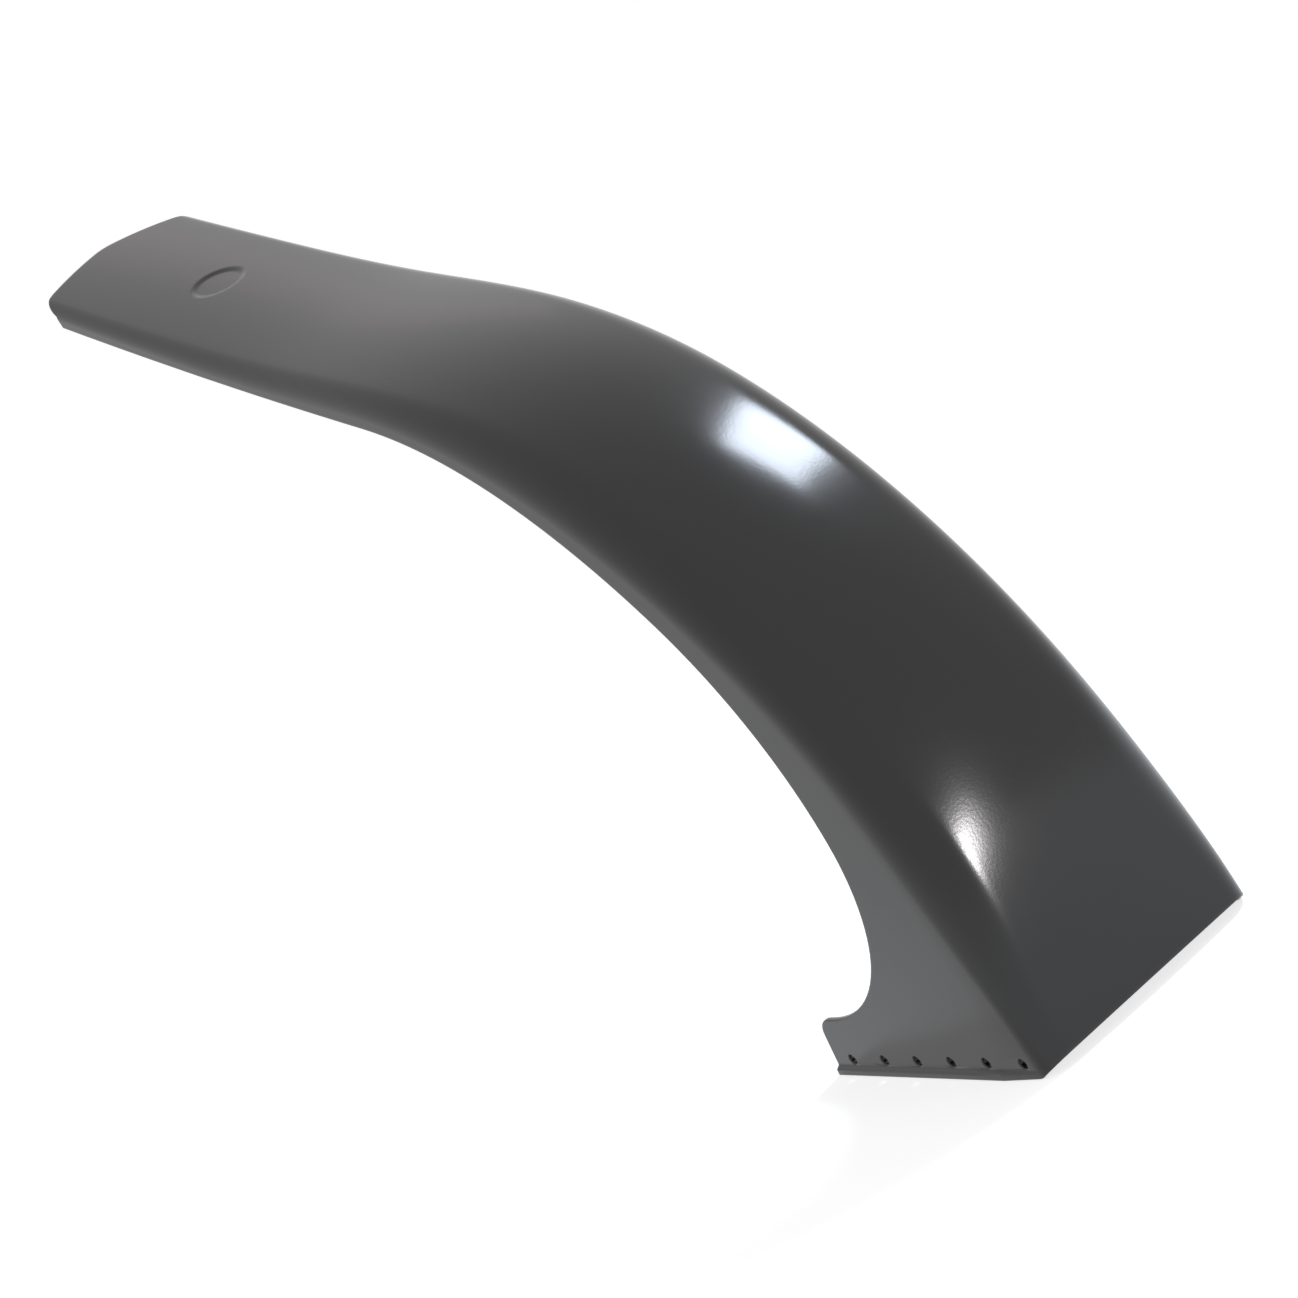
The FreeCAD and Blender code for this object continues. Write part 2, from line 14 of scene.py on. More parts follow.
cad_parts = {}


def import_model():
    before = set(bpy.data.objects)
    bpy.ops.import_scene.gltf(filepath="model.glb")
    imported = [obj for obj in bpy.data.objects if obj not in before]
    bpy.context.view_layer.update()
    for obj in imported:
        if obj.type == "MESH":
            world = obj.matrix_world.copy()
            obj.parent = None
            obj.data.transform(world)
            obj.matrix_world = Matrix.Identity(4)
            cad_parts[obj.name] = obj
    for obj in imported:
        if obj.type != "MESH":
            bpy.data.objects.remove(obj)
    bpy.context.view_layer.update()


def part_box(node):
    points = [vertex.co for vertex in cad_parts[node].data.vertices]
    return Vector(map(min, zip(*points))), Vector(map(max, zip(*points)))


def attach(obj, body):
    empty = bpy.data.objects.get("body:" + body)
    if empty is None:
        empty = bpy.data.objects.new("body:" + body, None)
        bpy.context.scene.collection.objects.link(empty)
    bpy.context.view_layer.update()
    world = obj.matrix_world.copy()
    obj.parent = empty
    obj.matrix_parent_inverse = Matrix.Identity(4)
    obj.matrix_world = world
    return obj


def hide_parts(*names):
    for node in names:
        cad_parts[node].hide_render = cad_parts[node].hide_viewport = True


LOG = logging.getLogger("mudguard")

NODE = "mudguard_shell"
BODY = "root"
PIECE = "mudguard_skin"
METRE = 0.001
WELD = 1e-6

Point = tuple[float, float]
Colour = tuple[float, float, float, float]
Column = tuple[float, float, int]

WHITE: Colour = (1.0, 1.0, 1.0, 1.0)
MIX_FIRST, MIX_SECOND, MIX_RESULT = 6, 7, 2


def smooth_step(value: float) -> float:
    """Eases a value from 0 to 1, held at both ends."""
    held = min(1.0, max(0.0, value))
    return held * held * (3.0 - 2.0 * held)


def polar(centre: Point, radius: float, angle: float) -> Point:
    """Point on a circle of the side view, angle in radians."""
    return centre[0] + radius * math.cos(angle), centre[1] + radius * math.sin(angle)


def heading(azimuth: float, elevation: float) -> Vector:
    """Direction from an azimuth, turned from +X to +Y, and an elevation, both in degrees."""
    a, e = math.radians(azimuth), math.radians(elevation)
    return Vector((math.cos(e) * math.cos(a), math.cos(e) * math.sin(a), math.sin(e)))


class Track:
    """Smooth line through values at runs along the crown: a natural cubic spline."""

    def __init__(self, runs: Sequence[float], values: Sequence[float]) -> None:
        """Solves the spline's bends.

        Args:
            runs: places along the crown, rising.
            values: the value at each place.
        """
        self.runs = list(runs)
        self.values = list(values)
        count = len(self.runs)
        bend = [0.0] * count
        slope = [0.0] * count
        for i in range(1, count - 1):
            before = self.runs[i] - self.runs[i - 1]
            after = self.runs[i + 1] - self.runs[i]
            climb = (self.values[i + 1] - self.values[i]) / after
            jump = climb - (self.values[i] - self.values[i - 1]) / before
            pivot = 2.0 * (before + after) - before * slope[i - 1]
            slope[i] = after / pivot
            bend[i] = (6.0 * jump - before * bend[i - 1]) / pivot
        for i in range(count - 2, 0, -1):
            bend[i] -= slope[i] * bend[i + 1]
        self.bend = bend

    def at(self, run: float) -> float:
        """Value at a run.

        Args:
            run: place along the crown.

        Returns:
            The spline's value there.
        """
        i = min(max(bisect.bisect_right(self.runs, run) - 1, 0), len(self.runs) - 2)
        gap = self.runs[i + 1] - self.runs[i]
        a = (self.runs[i + 1] - run) / gap
        b = 1.0 - a
        curve = (a ** 3 - a) * self.bend[i] + (b ** 3 - b) * self.bend[i + 1]
        return a * self.values[i] + b * self.values[i + 1] + curve * gap * gap / 6.0


@dataclass(frozen=True)
class Section:
    """Channel section at one place of the crown, in millimetres and radians."""

    x: float
    z: float
    lean: float
    half: float
    crown: float
    shoulder: float
    draft: float

    @property
    def crown_angle(self) -> float:
        """Half angle of the crown arc."""
        return math.asin((self.half - self.shoulder) / (self.crown - self.shoulder))

    def across(self, share: float, bend: float, drop: float) -> Point:
        """Place on the section's outside.

        Args:
            share: share of the half crown, 0 to 1.
            bend: share of the shoulder, 0 to 1.
            drop: length down the skirt.

        Returns:
            Distance from the middle and height over the crown.
        """
        phi = self.crown_angle
        first = phi * share
        second = phi + (math.pi / 2 - self.draft - phi) * bend
        y = self.crown * math.sin(first) + self.shoulder * (math.sin(second) - math.sin(phi))
        h = self.crown * (math.cos(first) - 1.0) + self.shoulder * (math.cos(second) - math.cos(phi))
        return y + drop * math.sin(self.draft), h - drop * math.cos(self.draft)

    def skirt(self, depth: float) -> float:
        """Length of the skirt that reaches a depth below the crown."""
        return (depth + self.across(1.0, 1.0, 0.0)[1]) / math.cos(self.draft)


@dataclass(frozen=True)
class ChannelSizes:
    """Sizes of the moulding, in millimetres and degrees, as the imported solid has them."""

    wall: float = 2.5
    draft: float = 0.6
    tail_rise: float = 53.0
    arch_radius: float = 293.0
    arch_turn: float = 71.0
    blade_radius: float = 4400.0
    blade_length: float = 325.5
    widths: tuple[float, ...] = (115.0, 115.0, 114.4, 109.4, 105.6, 102.0, 98.4, 95.6, 92.8, 90.0)
    crowns: tuple[float, ...] = (650.0, 650.0, 560.0, 168.0, 137.0, 149.0, 215.0, 232.0, 247.0, 260.0)
    shoulders: tuple[float, ...] = (12.5, 12.5, 18.0, 21.5, 22.5, 20.0, 13.0, 10.0, 8.0, 6.5)
    overlap: float = 18.0
    throat: Point = (-61.6, 109.0)
    hook_radius: float = 82.2
    throat_radius: float = 180.0
    throat_turn: float = 33.6
    edge_radius: float = 300.0
    edge_turn: float = 69.1
    blade_edge_radius: float = 5600.0
    foot_length: float = 160.0
    toe_setback: float = 7.5
    toe_radius: float = 10.0
    tail_lift: float = 5.6
    heel: float = 12.5
    tip_bulge: float = 8.5
    tip_radius: float = 26.0
    tip_corner: float = 10.0
    lip_height: float = 3.5
    lip_reach: float = 1.8
    hole_radius: float = 2.25
    hole_height: float = 7.0
    hole_inset: float = 19.0
    hole_front: float = 16.0
    hole_count: int = 6
    dish_radius: float = 13.0
    dish_depth: float = 0.9
    dish_from_tip: float = 112.0

    @property
    def arch_length(self) -> float:
        """Length of the crown line over the wheel."""
        return self.arch_radius * math.radians(self.arch_turn)

    @property
    def tip_run(self) -> float:
        """Run of the blade's tip along the crown line."""
        return self.tail_rise + self.arch_length + self.blade_length


class Channel:
    """Crown line and sections of the moulding, smooth from the heel to the tip."""

    tail_share: float = 0.3
    arch_shares: tuple[float, ...] = (0.25, 0.5, 0.75, 1.0)
    blade_shares: tuple[float, ...] = (1 / 3, 2 / 3)
    search_steps: int = 50

    def __init__(self, sizes: ChannelSizes) -> None:
        """Lays smooth tracks through the ten sections.

        Args:
            sizes: the moulding's sizes.
        """
        self.sizes = sizes
        rise, arch, blade = sizes.tail_rise, sizes.arch_length, sizes.blade_length
        runs = [-sizes.overlap, self.tail_share * rise, rise]
        runs += [rise + arch * share for share in self.arch_shares]
        runs += [rise + arch + blade * share for share in self.blade_shares]
        runs += [rise + arch + blade + sizes.overlap]
        seats = [self._seat(run) for run in runs]
        self.x = Track(runs, [seat[0] for seat in seats])
        self.z = Track(runs, [seat[1] for seat in seats])
        self.lean = Track(runs, [seat[2] for seat in seats])
        self.half = Track(runs, [width / 2 for width in sizes.widths])
        self.crown = Track(runs, [1.0 / radius for radius in sizes.crowns])
        self.shoulder = Track(runs, sizes.shoulders)

    def _seat(self, run: float) -> tuple[float, float, float]:
        """Place and lean of the crown line: straight tail, arch, then a blade that sweeps up.

        Args:
            run: place along the crown.

        Returns:
            Place in the side view, then the lean in radians.
        """
        s = self.sizes
        turn = math.radians(s.arch_turn)
        if run <= s.tail_rise:
            return 0.0, run, math.pi / 2
        angle = (run - s.tail_rise) / s.arch_radius
        if angle <= turn:
            x = -s.arch_radius * (1 - math.cos(angle))
            return x, s.tail_rise + s.arch_radius * math.sin(angle), math.pi / 2 - angle
        start = math.pi / 2 - turn
        lean = start + (run - s.tail_rise - s.arch_length) / s.blade_radius
        x = -s.arch_radius * (1 - math.cos(turn)) - s.blade_radius * (math.sin(lean) - math.sin(start))
        z = s.tail_rise + s.arch_radius * math.sin(turn) + s.blade_radius * (math.cos(start) - math.cos(lean))
        return x, z, lean

    def section(self, run: float) -> Section:
        """Section at a run along the crown line."""
        return Section(self.x.at(run), self.z.at(run), self.lean.at(run), self.half.at(run),
                       1.0 / self.crown.at(run), self.shoulder.at(run), math.radians(self.sizes.draft))

    def reach(self, edge: Point) -> tuple[float, float]:
        """Finds the section that an edge point lies in.

        Args:
            edge: a point of the side view.

        Returns:
            Run of the section and depth of the point below its crown.
        """
        low, high = -self.sizes.overlap, self.sizes.tip_run + self.sizes.overlap
        for _ in range(self.search_steps):
            run = (low + high) / 2
            lean = self.lean.at(run)
            ahead = (edge[1] - self.z.at(run)) * math.sin(lean) - (edge[0] - self.x.at(run)) * math.cos(lean)
            if ahead > 0:
                low = run
            else:
                high = run
        lean = self.lean.at(low)
        depth = (self.x.at(low) - edge[0]) * math.sin(lean) + (self.z.at(low) - edge[1]) * math.cos(lean)
        return low, depth


@dataclass(frozen=True)
class Row:
    """One row of the pattern: its run over the crown, where it meets the skirt's edge and its way in."""

    run: float
    edge: Point
    inward: Point


class Pattern:
    """Flat pattern of the moulding: rows that meet the skirt's edge squarely by columns round the section."""

    rim_step: float = 1.3
    approach: float = 6.0
    foot_levels: tuple[float, ...] = (0.0, 1.2, 2.2, 2.9, 3.4, 3.9, 4.6, 6.0, 8.0, 10.5, 13.0, 16.0, 19.0)
    level_height: float = 22.0
    toe_level: float = 24.0
    toe_steps: int = 8
    hook_steps: int = 26
    nose_length: float = 50.0
    nose_shares: tuple[float, ...] = (0.1, 0.2, 0.3, 0.4, 0.5, 0.6, 0.7, 0.8, 0.88, 0.955, 1.0)
    edge_step: float = 5.0
    fine_step: float = 1.0
    row_gap: float = 2.0
    blade_overrun: float = 60.0
    lip_blend: float = 1.2
    lip_fade: float = 4.0
    dish_edge: float = 0.6
    dish_blend: float = 2.6
    tip_rounds: int = 12
    level_rounds: int = 6
    crown_fine: tuple[float, int] = (0.37, 14)
    crown_wide: int = 9
    shoulder_steps: int = 10
    skirt_steps: int = 12

    def __init__(self, channel: Channel, front: float) -> None:
        """Lays out rows and columns.

        Args:
            channel: crown line and sections.
            front: how far forward the tip reaches.
        """
        self.channel = channel
        self.sizes = channel.sizes
        self.front = front
        fine, count = self.crown_fine
        shares = [fine * i / count for i in range(count)]
        shares += [fine + (1.0 - fine) * i / self.crown_wide for i in range(self.crown_wide + 1)]
        bends = [(i + 1) / self.shoulder_steps for i in range(self.shoulder_steps)]
        self.columns = [(share, 0.0, 0) for share in shares]
        self.columns += [(1.0, bend, 0) for bend in bends]
        self.columns += [(1.0, 1.0, i + 1) for i in range(self.skirt_steps + 1)]
        reach = self.sizes.blade_length + self.blade_overrun
        self.table = [channel.reach(point) for point in self._blade_edge(reach)]
        self.rows = self._foot_rows() + self._edge_rows() + self._blade_rows()

    def _foot_rows(self) -> list[Row]:
        """Rows of the foot: level with the lip, up its leaning front and round the toe.

        Returns:
            The rows from the lip up.
        """
        s = self.sizes
        top = s.throat[1] - s.hook_radius
        rise = math.atan2(top, s.toe_setback)
        run = s.toe_radius / math.tan((math.pi - rise) / 2)
        toe = (-s.foot_length + s.toe_setback + run, top - s.toe_radius)
        rows = [Row(z, (s.toe_setback * z / top - s.foot_length, z), (1.0, 0.0)) for z in self.foot_levels]
        last = self.foot_levels[-1]
        for i in range(1, self.toe_steps + 1):
            share = i / self.toe_steps
            angle = math.pi / 2 + rise * (1.0 - share)
            turn = math.pi / 2 * share
            rows.append(Row(last + (self.toe_level - last) * share, polar(toe, s.toe_radius, angle),
                            (math.cos(turn), -math.sin(turn))))
        return rows

    def _edge_rows(self) -> list[Row]:
        """Rows that follow the hook, the throat and the arch.

        Returns:
            The rows from the hook to the blade's root.
        """
        s = self.sizes
        hook = (s.throat[0] - s.hook_radius, s.throat[1])
        upper = (s.throat[0] - s.throat_radius, s.throat[1])
        turn = math.radians(s.throat_turn)
        over = polar(upper, s.throat_radius - s.edge_radius, turn)
        sweep = math.radians(s.edge_turn) - turn
        arcs = [(hook, s.hook_radius, -math.pi / 2 * (1.0 - i / self.hook_steps))
                for i in range(1, self.hook_steps)]
        count = round(s.throat_radius * turn / self.edge_step)
        arcs += [(upper, s.throat_radius, turn * i / count) for i in range(count)]
        count = round(s.edge_radius * sweep / self.edge_step)
        arcs += [(over, s.edge_radius, turn + sweep * i / count) for i in range(count)]
        drop = self.channel.reach((hook[0], hook[1] - s.hook_radius))[0] - self.toe_level
        rows = []
        for i, (centre, radius, angle) in enumerate(arcs):
            point = polar(centre, radius, angle)
            lag = drop * max(0.0, 1.0 - (i + 1) / self.hook_steps)
            rows.append(Row(self.channel.reach(point)[0] - lag, point, (math.cos(angle), math.sin(angle))))
        return rows

    def _blade_edge(self, length: float) -> list[Point]:
        """Points of the blade's lower edge over a length from its root.

        Args:
            length: how far the points go.

        Returns:
            Points of the side view, about a step apart.
        """
        s = self.sizes
        upper = (s.throat[0] - s.throat_radius, s.throat[1])
        over = polar(upper, s.throat_radius - s.edge_radius, math.radians(s.throat_turn))
        blade = polar(over, s.edge_radius + s.blade_edge_radius, math.radians(s.edge_turn))
        count = round(length / self.edge_step)
        first = math.pi + math.radians(s.edge_turn)
        return [polar(blade, s.blade_edge_radius, first - length * i / count / s.blade_edge_radius)
                for i in range(count + 1)]

    def _blade_rows(self) -> list[Row]:
        """Rows of the blade up to the nose, close together at the dish.

        Returns:
            The rows from the root to the nose.
        """
        s = self.sizes
        last = s.tip_run - self.nose_length
        dish = s.tip_run - s.dish_from_tip
        fine = s.dish_radius + self.row_gap
        count = round(2 * fine / self.fine_step)
        runs = [run for run, _ in self.table if run < dish - fine - self.row_gap]
        runs += [dish - fine + 2 * fine * i / count for i in range(count + 1)]
        runs += [run for run, _ in self.table
                 if dish + fine + self.row_gap < run < last - self.row_gap] + [last]
        rows = []
        for run in runs:
            depth = self._depth(run)
            lean = self.channel.lean.at(run)
            inward = (math.sin(lean), math.cos(lean))
            edge = (self.channel.x.at(run) - depth * inward[0], self.channel.z.at(run) - depth * inward[1])
            rows.append(Row(run, edge, inward))
        return rows

    def _depth(self, run: float) -> float:
        """Depth of the blade's skirt at a run.

        Args:
            run: place along the crown.

        Returns:
            How far the skirt's edge lies below the crown.
        """
        table = self.table
        i = min(max(bisect.bisect_right(table, (run, 0.0)) - 1, 0), len(table) - 2)
        (a, low), (b, high) = table[i], table[i + 1]
        return low + (high - low) * (run - a) / (b - a)

    def _tip_line(self, y: float) -> float:
        """Plan outline of the tip: how far forward it reaches at a distance from the middle.

        Args:
            y: distance from the middle.

        Returns:
            The outline's place along the part.
        """
        s = self.sizes
        half = s.widths[-1] / 2
        slope = math.atan2(half, s.tip_bulge)
        nose = self.front + s.tip_radius
        start = (nose - s.tip_radius * math.sin(slope), s.tip_radius * math.cos(slope))
        if y <= start[1]:
            return nose - math.sqrt(s.tip_radius ** 2 - y * y)
        rise = half - s.tip_corner
        turn = rise + s.tip_corner * math.cos(slope)
        end = start[0] + (turn - start[1]) / math.tan(slope)
        if y <= turn:
            return start[0] + (y - start[1]) / math.tan(slope)
        corner = end + s.tip_corner * math.sin(slope)
        return corner - math.sqrt(max(0.0, s.tip_corner ** 2 - (min(y, half) - rise) ** 2))

    def _skirt(self, row: Row) -> list[tuple[float, float]]:
        """Run and drop of a row's skirt columns, on a curve that comes in squarely from the edge.

        Args:
            row: the row.

        Returns:
            A run and a drop for every skirt column, the edge last.
        """
        section = self.channel.section(row.run)
        h = section.across(1.0, 1.0, 0.0)[1]
        start = Vector((section.x + h * math.sin(section.lean), section.z + h * math.cos(section.lean)))
        edge, inward = Vector(row.edge), Vector(row.inward)
        rim = edge + inward * self.rim_step
        hold = edge + inward * min(self.approach, (start - edge).length / 2)
        spots = []
        for i in range(1, self.skirt_steps + 1):
            w = i / self.skirt_steps
            spots.append(start * (1 - w) ** 2 + hold * (2 * w * (1 - w)) + rim * w * w)
        cells = []
        for spot in spots + [edge]:
            run, depth = self.channel.reach((spot.x, spot.y))
            cells.append((run, self.channel.section(run).skirt(depth)))
        return cells

    def _tip_cell(self, run: float, column: Column) -> tuple[float, float]:
        """Run and drop of a column near the tip, where rows lie across the channel.

        Args:
            run: place along the crown.
            column: share of the crown, bend of the shoulder and skirt index.

        Returns:
            The run and the length down the skirt.
        """
        index = column[2]
        if index == 0:
            return run, 0.0
        length = self.channel.section(run).skirt(self._depth(run))
        if index > self.skirt_steps:
            return run, length
        return run, (length - self.rim_step) * index / self.skirt_steps

    def _tip_end(self, column: Column) -> float:
        """Run at which a column meets the tip's outline.

        Args:
            column: share of the crown, bend of the shoulder and skirt index.

        Returns:
            The run.
        """
        run = self.sizes.tip_run
        for _ in range(self.tip_rounds):
            section = self.channel.section(run)
            y, h = section.across(column[0], column[1], self._tip_cell(run, column)[1])
            run += (section.x + h * math.sin(section.lean) - self._tip_line(y)) / math.cos(section.lean)
        return run

    def _level_run(self, column: Column, level: float) -> float:
        """Run at which a crown or shoulder column stands at a level above the floor.

        Args:
            column: share of the crown, bend of the shoulder and skirt index.
            level: the row's level at the skirt.

        Returns:
            The run.
        """
        s = self.sizes
        run = level
        for _ in range(self.level_rounds):
            section = self.channel.section(run)
            h = section.across(column[0], column[1], 0.0)[1]
            lift = s.tail_lift * min(1.0, max(0.0, (h + s.heel) / s.heel))
            goal = lift + level * (1.0 - lift / self.level_height)
            run += goal - section.z - h * math.cos(section.lean)
        return run

    def lattice(self) -> list[list[tuple[float, float]]]:
        """Run and drop of every vertex of one half, row by row.

        Returns:
            A list of rows, each with a run and a skirt drop for every column.
        """
        top = [column for column in self.columns if column[2] == 0]
        grid: list[list[tuple[float, float]]] = []
        for row in self.rows:
            if row.run < self.level_height:
                head = [(self._level_run(column, row.run), 0.0) for column in top]
            else:
                head = [(row.run, 0.0)] * len(top)
            grid.append(head + self._skirt(row))
        last = self.rows[-1].run
        ends = [self._tip_end(column) for column in self.columns]
        for share in self.nose_shares:
            grid.append([self._tip_cell(last + (end - last) * share, column)
                         for end, column in zip(ends, self.columns)])
        return grid

    def _swell(self, run: float, y: float, h: float, index: int) -> float:
        """How far the outside stands off the plain channel: the rolled lip and the round dish.

        Args:
            run: place along the crown, or the height above the floor on a skirt.
            y: distance from the middle.
            h: height over the crown.
            index: skirt column, zero on crown and shoulder.

        Returns:
            Offset of the outside, in millimetres.
        """
        s = self.sizes
        if index > 0 and run < 2 * s.lip_height:
            fade = smooth_step((-h - s.heel) / (self.lip_fade * s.lip_reach))
            above = s.lip_height + self.lip_blend / 2 - run
            return s.lip_reach * fade * smooth_step(above / self.lip_blend)
        away = math.hypot(run - (s.tip_run - s.dish_from_tip), y)
        within = s.dish_radius + self.dish_edge - away
        return -s.dish_depth * smooth_step(within / self.dish_blend)

    def mesh(self, name: str) -> bpy.types.Mesh:
        """Flat pattern as a mesh whose attributes say how the channel is formed from it.

        Args:
            name: the mesh's name.

        Returns:
            A grid of quads with seat, ring, place, swell and rim attributes.
        """
        half = self.lattice()
        starts, ends = half[0], half[-1]
        width = len(self.columns)
        order = [(-1.0, i) for i in range(width - 1, 0, -1)] + [(1.0, i) for i in range(width)]
        points: list[tuple[float, float, float]] = []
        data: dict[str, list[float]] = {"seat": [], "ring": [], "place": [], "swell": [], "rim": []}
        for cells in half:
            sections = [self.channel.section(run) for run, _ in cells]
            spots = [section.across(share, bend, drop)
                     for section, (share, bend, _), (_, drop) in zip(sections, self.columns, cells)]
            sides = [(section.x + h * math.sin(section.lean), y, section.z + h * math.cos(section.lean))
                     for section, (y, h) in zip(sections, spots)]
            for side, i in order:
                run, drop = cells[i]
                share, bend, index = self.columns[i]
                section, (y, h) = sections[i], spots[i]
                points.append((run * METRE, side * (y - h) * METRE, 0.0))
                data["seat"] += [section.x, section.lean, section.z]
                data["ring"] += [section.half, section.crown, section.shoulder]
                data["place"] += [side * share, bend, drop]
                data["swell"].append(self._swell(sides[i][2] if index else run, y, h, index))
                data["rim"].append(min(math.dist(sides[i], sides[-1]), run - starts[i][0], ends[i][0] - run))
        across = len(order)
        faces = []
        for r in range(len(half) - 1):
            for c in range(across - 1):
                a = r * across + c
                faces.append((a, a + across, a + across + 1, a + 1))
        mesh = bpy.data.meshes.new(name)
        mesh.from_pydata(points, [], faces)
        for key, values in data.items():
            vector = key in ("seat", "ring", "place")
            layer = mesh.attributes.new(key, "FLOAT_VECTOR" if vector else "FLOAT", "POINT")
            layer.data.foreach_set("vector" if vector else "value", values)
        return mesh


class Desk:
    """Short hand for building a node tree."""

    def __init__(self, tree: bpy.types.NodeTree) -> None:
        """Keeps the tree that the nodes go in."""
        self.tree = tree

    def add(self, kind: str, inputs: Optional[dict[str, Any]] = None, **settings: Any) -> bpy.types.Node:
        """Adds a node.

        Args:
            kind: the node's type.
            inputs: values or sockets for its inputs, by name.
            settings: the node's own properties.

        Returns:
            The new node.
        """
        node = self.tree.nodes.new(kind)
        for key, value in settings.items():
            setattr(node, key, value)
        for key, value in (inputs or {}).items():
            self.feed(node.inputs[key], value)
        return node

    def feed(self, socket: bpy.types.NodeSocket, value: Any) -> None:
        """Links a socket to an input, or sets the input's value.

        Args:
            socket: the input.
            value: a socket to link, or a plain value.
        """
        if isinstance(value, bpy.types.NodeSocket):
            self.tree.links.new(value, socket)
        else:
            socket.default_value = value

    def math(self, operation: str, *values: Any) -> bpy.types.NodeSocket:
        """Adds a Math node and gives its result.

        Args:
            operation: what the node does.
            values: values or sockets for its inputs.

        Returns:
            The result's socket.
        """
        node = self.add("ShaderNodeMath", operation=operation)
        for socket, value in zip(node.inputs, values):
            self.feed(socket, value)
        return node.outputs[0]

    def total(self, *values: Any) -> bpy.types.NodeSocket:
        """Sum of several values.

        Args:
            values: sockets, or plain values after the first.

        Returns:
            The sum's socket.
        """
        result = values[0]
        for value in values[1:]:
            result = self.math("ADD", result, value)
        return result

    def noise(self, spot: bpy.types.NodeSocket, scale: Any, detail: float,
              roughness: float = 0.5) -> bpy.types.NodeSocket:
        """Adds a Noise texture.

        Args:
            spot: where it is read.
            scale: its scale.
            detail: how many finer layers it has.
            roughness: how strong those are.

        Returns:
            The texture's value.
        """
        node = self.add("ShaderNodeTexNoise", {"Vector": spot, "Scale": scale, "Detail": detail,
                                               "Roughness": roughness})
        return node.outputs["Fac"]

    def remap(self, value: bpy.types.NodeSocket, source: Sequence[Any], target: Point = (0.0, 1.0),
              ease: str = "LINEAR") -> bpy.types.NodeSocket:
        """Adds a Map Range node.

        Args:
            value: the value.
            source: range that it comes from.
            target: range that it goes to.
            ease: the node's interpolation.

        Returns:
            The value in the new range.
        """
        node = self.add("ShaderNodeMapRange", {"Value": value, "From Min": source[0], "From Max": source[1],
                                               "To Min": target[0], "To Max": target[1]}, interpolation_type=ease)
        return node.outputs["Result"]

    def split(self, vector: bpy.types.NodeSocket) -> list[bpy.types.NodeSocket]:
        """The three parts of a vector."""
        return list(self.add("ShaderNodeSeparateXYZ", {"Vector": vector}).outputs)

    def attribute(self, name: str, kind: str) -> bpy.types.NodeSocket:
        """Named attribute of a Geometry Nodes tree."""
        node = self.add("GeometryNodeInputNamedAttribute", {"Name": name}, data_type=kind)
        return node.outputs["Attribute"]


class Socket(Enum):
    """Kinds of named tree sockets."""

    GEOMETRY = "NodeSocketGeometry"
    FLOAT = "NodeSocketFloat"
    INT = "NodeSocketInt"
    VECTOR = "NodeSocketVector"
    MATERIAL = "NodeSocketMaterial"


def named_sockets(tree: bpy.types.NodeTree, inputs: dict[str, Socket],
                  outputs: dict[str, Socket]) -> dict[str, Any]:
    """Gives a tree its named sockets.

    Args:
        tree: the node tree.
        inputs: kind of each input by name.
        outputs: kind of each output by name.

    Returns:
        The inputs by name, with their identifiers.
    """
    face = tree.interface
    made = {key: face.new_socket(key, in_out="INPUT", socket_type=kind.value) for key, kind in inputs.items()}
    for key, kind in outputs.items():
        face.new_socket(key, in_out="OUTPUT", socket_type=kind.value)
    return made


def dress_tree(desk: Desk, geometry: bpy.types.NodeSocket, entry: Any, output: str) -> None:
    """Ends a tree with its geometry realized, dressed in the skin and lined inside.

    Args:
        desk: the tree's desk.
        geometry: what the tree made.
        entry: the tree's inputs.
        output: name of the tree's output.
    """
    whole = desk.add("GeometryNodeRealizeInstances", {"Geometry": geometry})
    skin = desk.add("GeometryNodeSetMaterial", {"Geometry": whole.outputs["Geometry"],
                                                "Material": entry["Skin"]})
    lined = desk.add("GeometryNodeSetMaterial", {"Geometry": skin.outputs["Geometry"],
                                                 "Selection": desk.attribute("inside", "FLOAT"),
                                                 "Material": entry["Inside"]})
    desk.add("NodeGroupOutput", {output: lined.outputs["Geometry"]})


